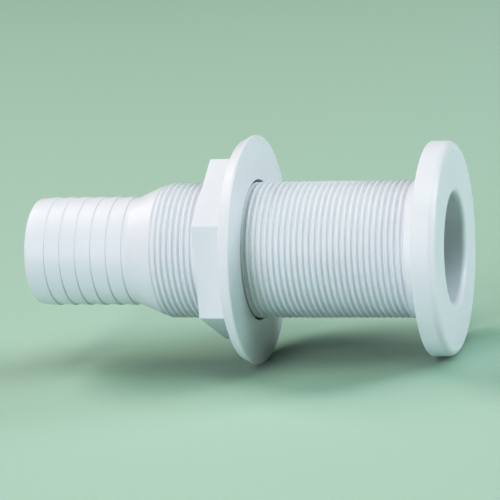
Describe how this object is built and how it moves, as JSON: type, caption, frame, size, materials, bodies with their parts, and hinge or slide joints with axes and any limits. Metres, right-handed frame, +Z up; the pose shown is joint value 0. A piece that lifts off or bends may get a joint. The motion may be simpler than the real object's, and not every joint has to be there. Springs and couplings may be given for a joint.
{
  "type": "thru hull fitting",
  "caption": "Plastic thru-hull fitting: round flanged head, long threaded barrel and serrated hose tail in one moulding, with a loose flange washer and a hex lock nut.",
  "frame": {"origin": "on the fitting's axis, in the plane of the head's back face, which seals against the outside of the hull", "axes": "+X along the waterway and out of the head, away from the boat; -X towards the hose tail; +Z up with the axis level, as in a hull's side"},
  "size_m": [0.1515, 0.0804, 0.0804],
  "materials": {
    "body_plastic": "satin moulded white nylon",
    "washer_plastic": "satin moulded white nylon",
    "nut_plastic": "satin moulded white nylon"
  },
  "bodies": {
    "body": {"fitting_body": "body_plastic"},
    "washer": {"flange_washer": "washer_plastic"},
    "nut": {"hex_nut": "nut_plastic"}
  },
  "joints": [
    {"name": "nut_travel", "type": "slide", "parent": "body", "child": "washer", "axis": [1, 0, 0], "range_m": [-0.03077, 0.06105]},
    {"name": "nut_spin", "type": "hinge", "parent": "washer", "child": "nut", "pos_m": [-0.0717, 0, 0], "axis": [1, 0, 0], "range_deg": [-5200, 10350]}
  ],
  "couplings": [
    {"joint": "nut_travel", "follows": "nut_spin", "m_per_rad": 0.00033688}
  ]
}
